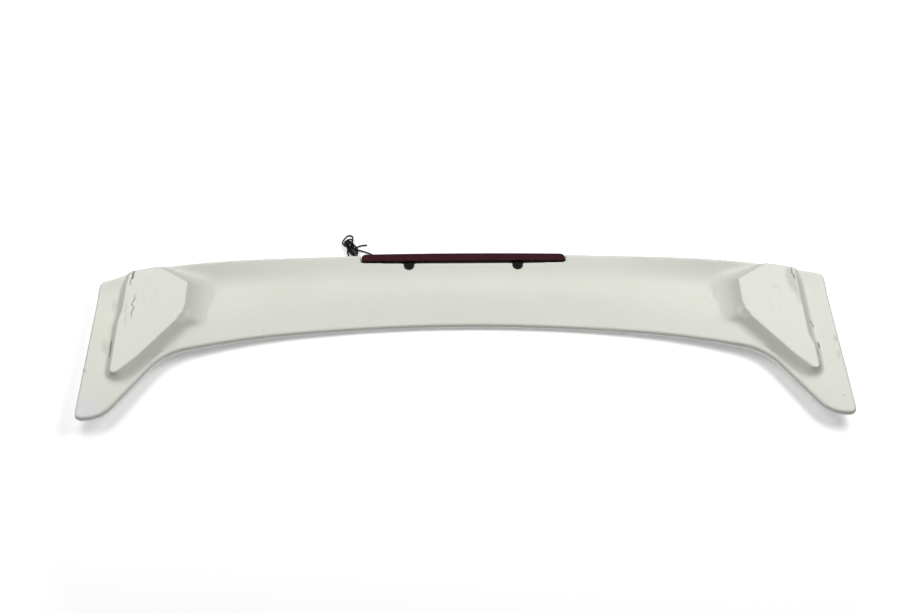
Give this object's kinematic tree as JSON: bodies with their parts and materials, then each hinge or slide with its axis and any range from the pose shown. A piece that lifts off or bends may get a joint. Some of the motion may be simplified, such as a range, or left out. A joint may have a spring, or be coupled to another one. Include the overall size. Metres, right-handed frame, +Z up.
{
  "type": "car rear spoiler",
  "caption": "White boot-lid spoiler with swept legs, flat bonding feet and a red brake lamp let into its trailing edge, lying underside up.",
  "frame": {"origin": "on the floor under the middle of the spoiler as it lies on its skin, lead not counted", "axes": "+X across the car, +Y from the leg tips to the trailing edge, +Z up, out of the underside that shows"},
  "size_m": [1.2416, 0.4198, 0.046],
  "materials": {
    "body": "off-white moulded plastic, matte on the underside and painted on the skin",
    "lens": "dark red translucent lens",
    "housing": "black moulded plastic",
    "board": "green circuit board",
    "led": "pale clear plastic",
    "screw": "black coated steel",
    "lead": "black insulation"
  },
  "bodies": {
    "root": {"spoiler_body": "body", "lamp_lens": "lens", "lamp_housing": "housing", "lamp_circuit_board": "board", "lamp_leds": "led", "lamp_screws": "screw", "lead_run": "lead", "lead_hank": "lead", "lead_loop": "lead", "lead_tail": "lead"}
  },
  "joints": []
}
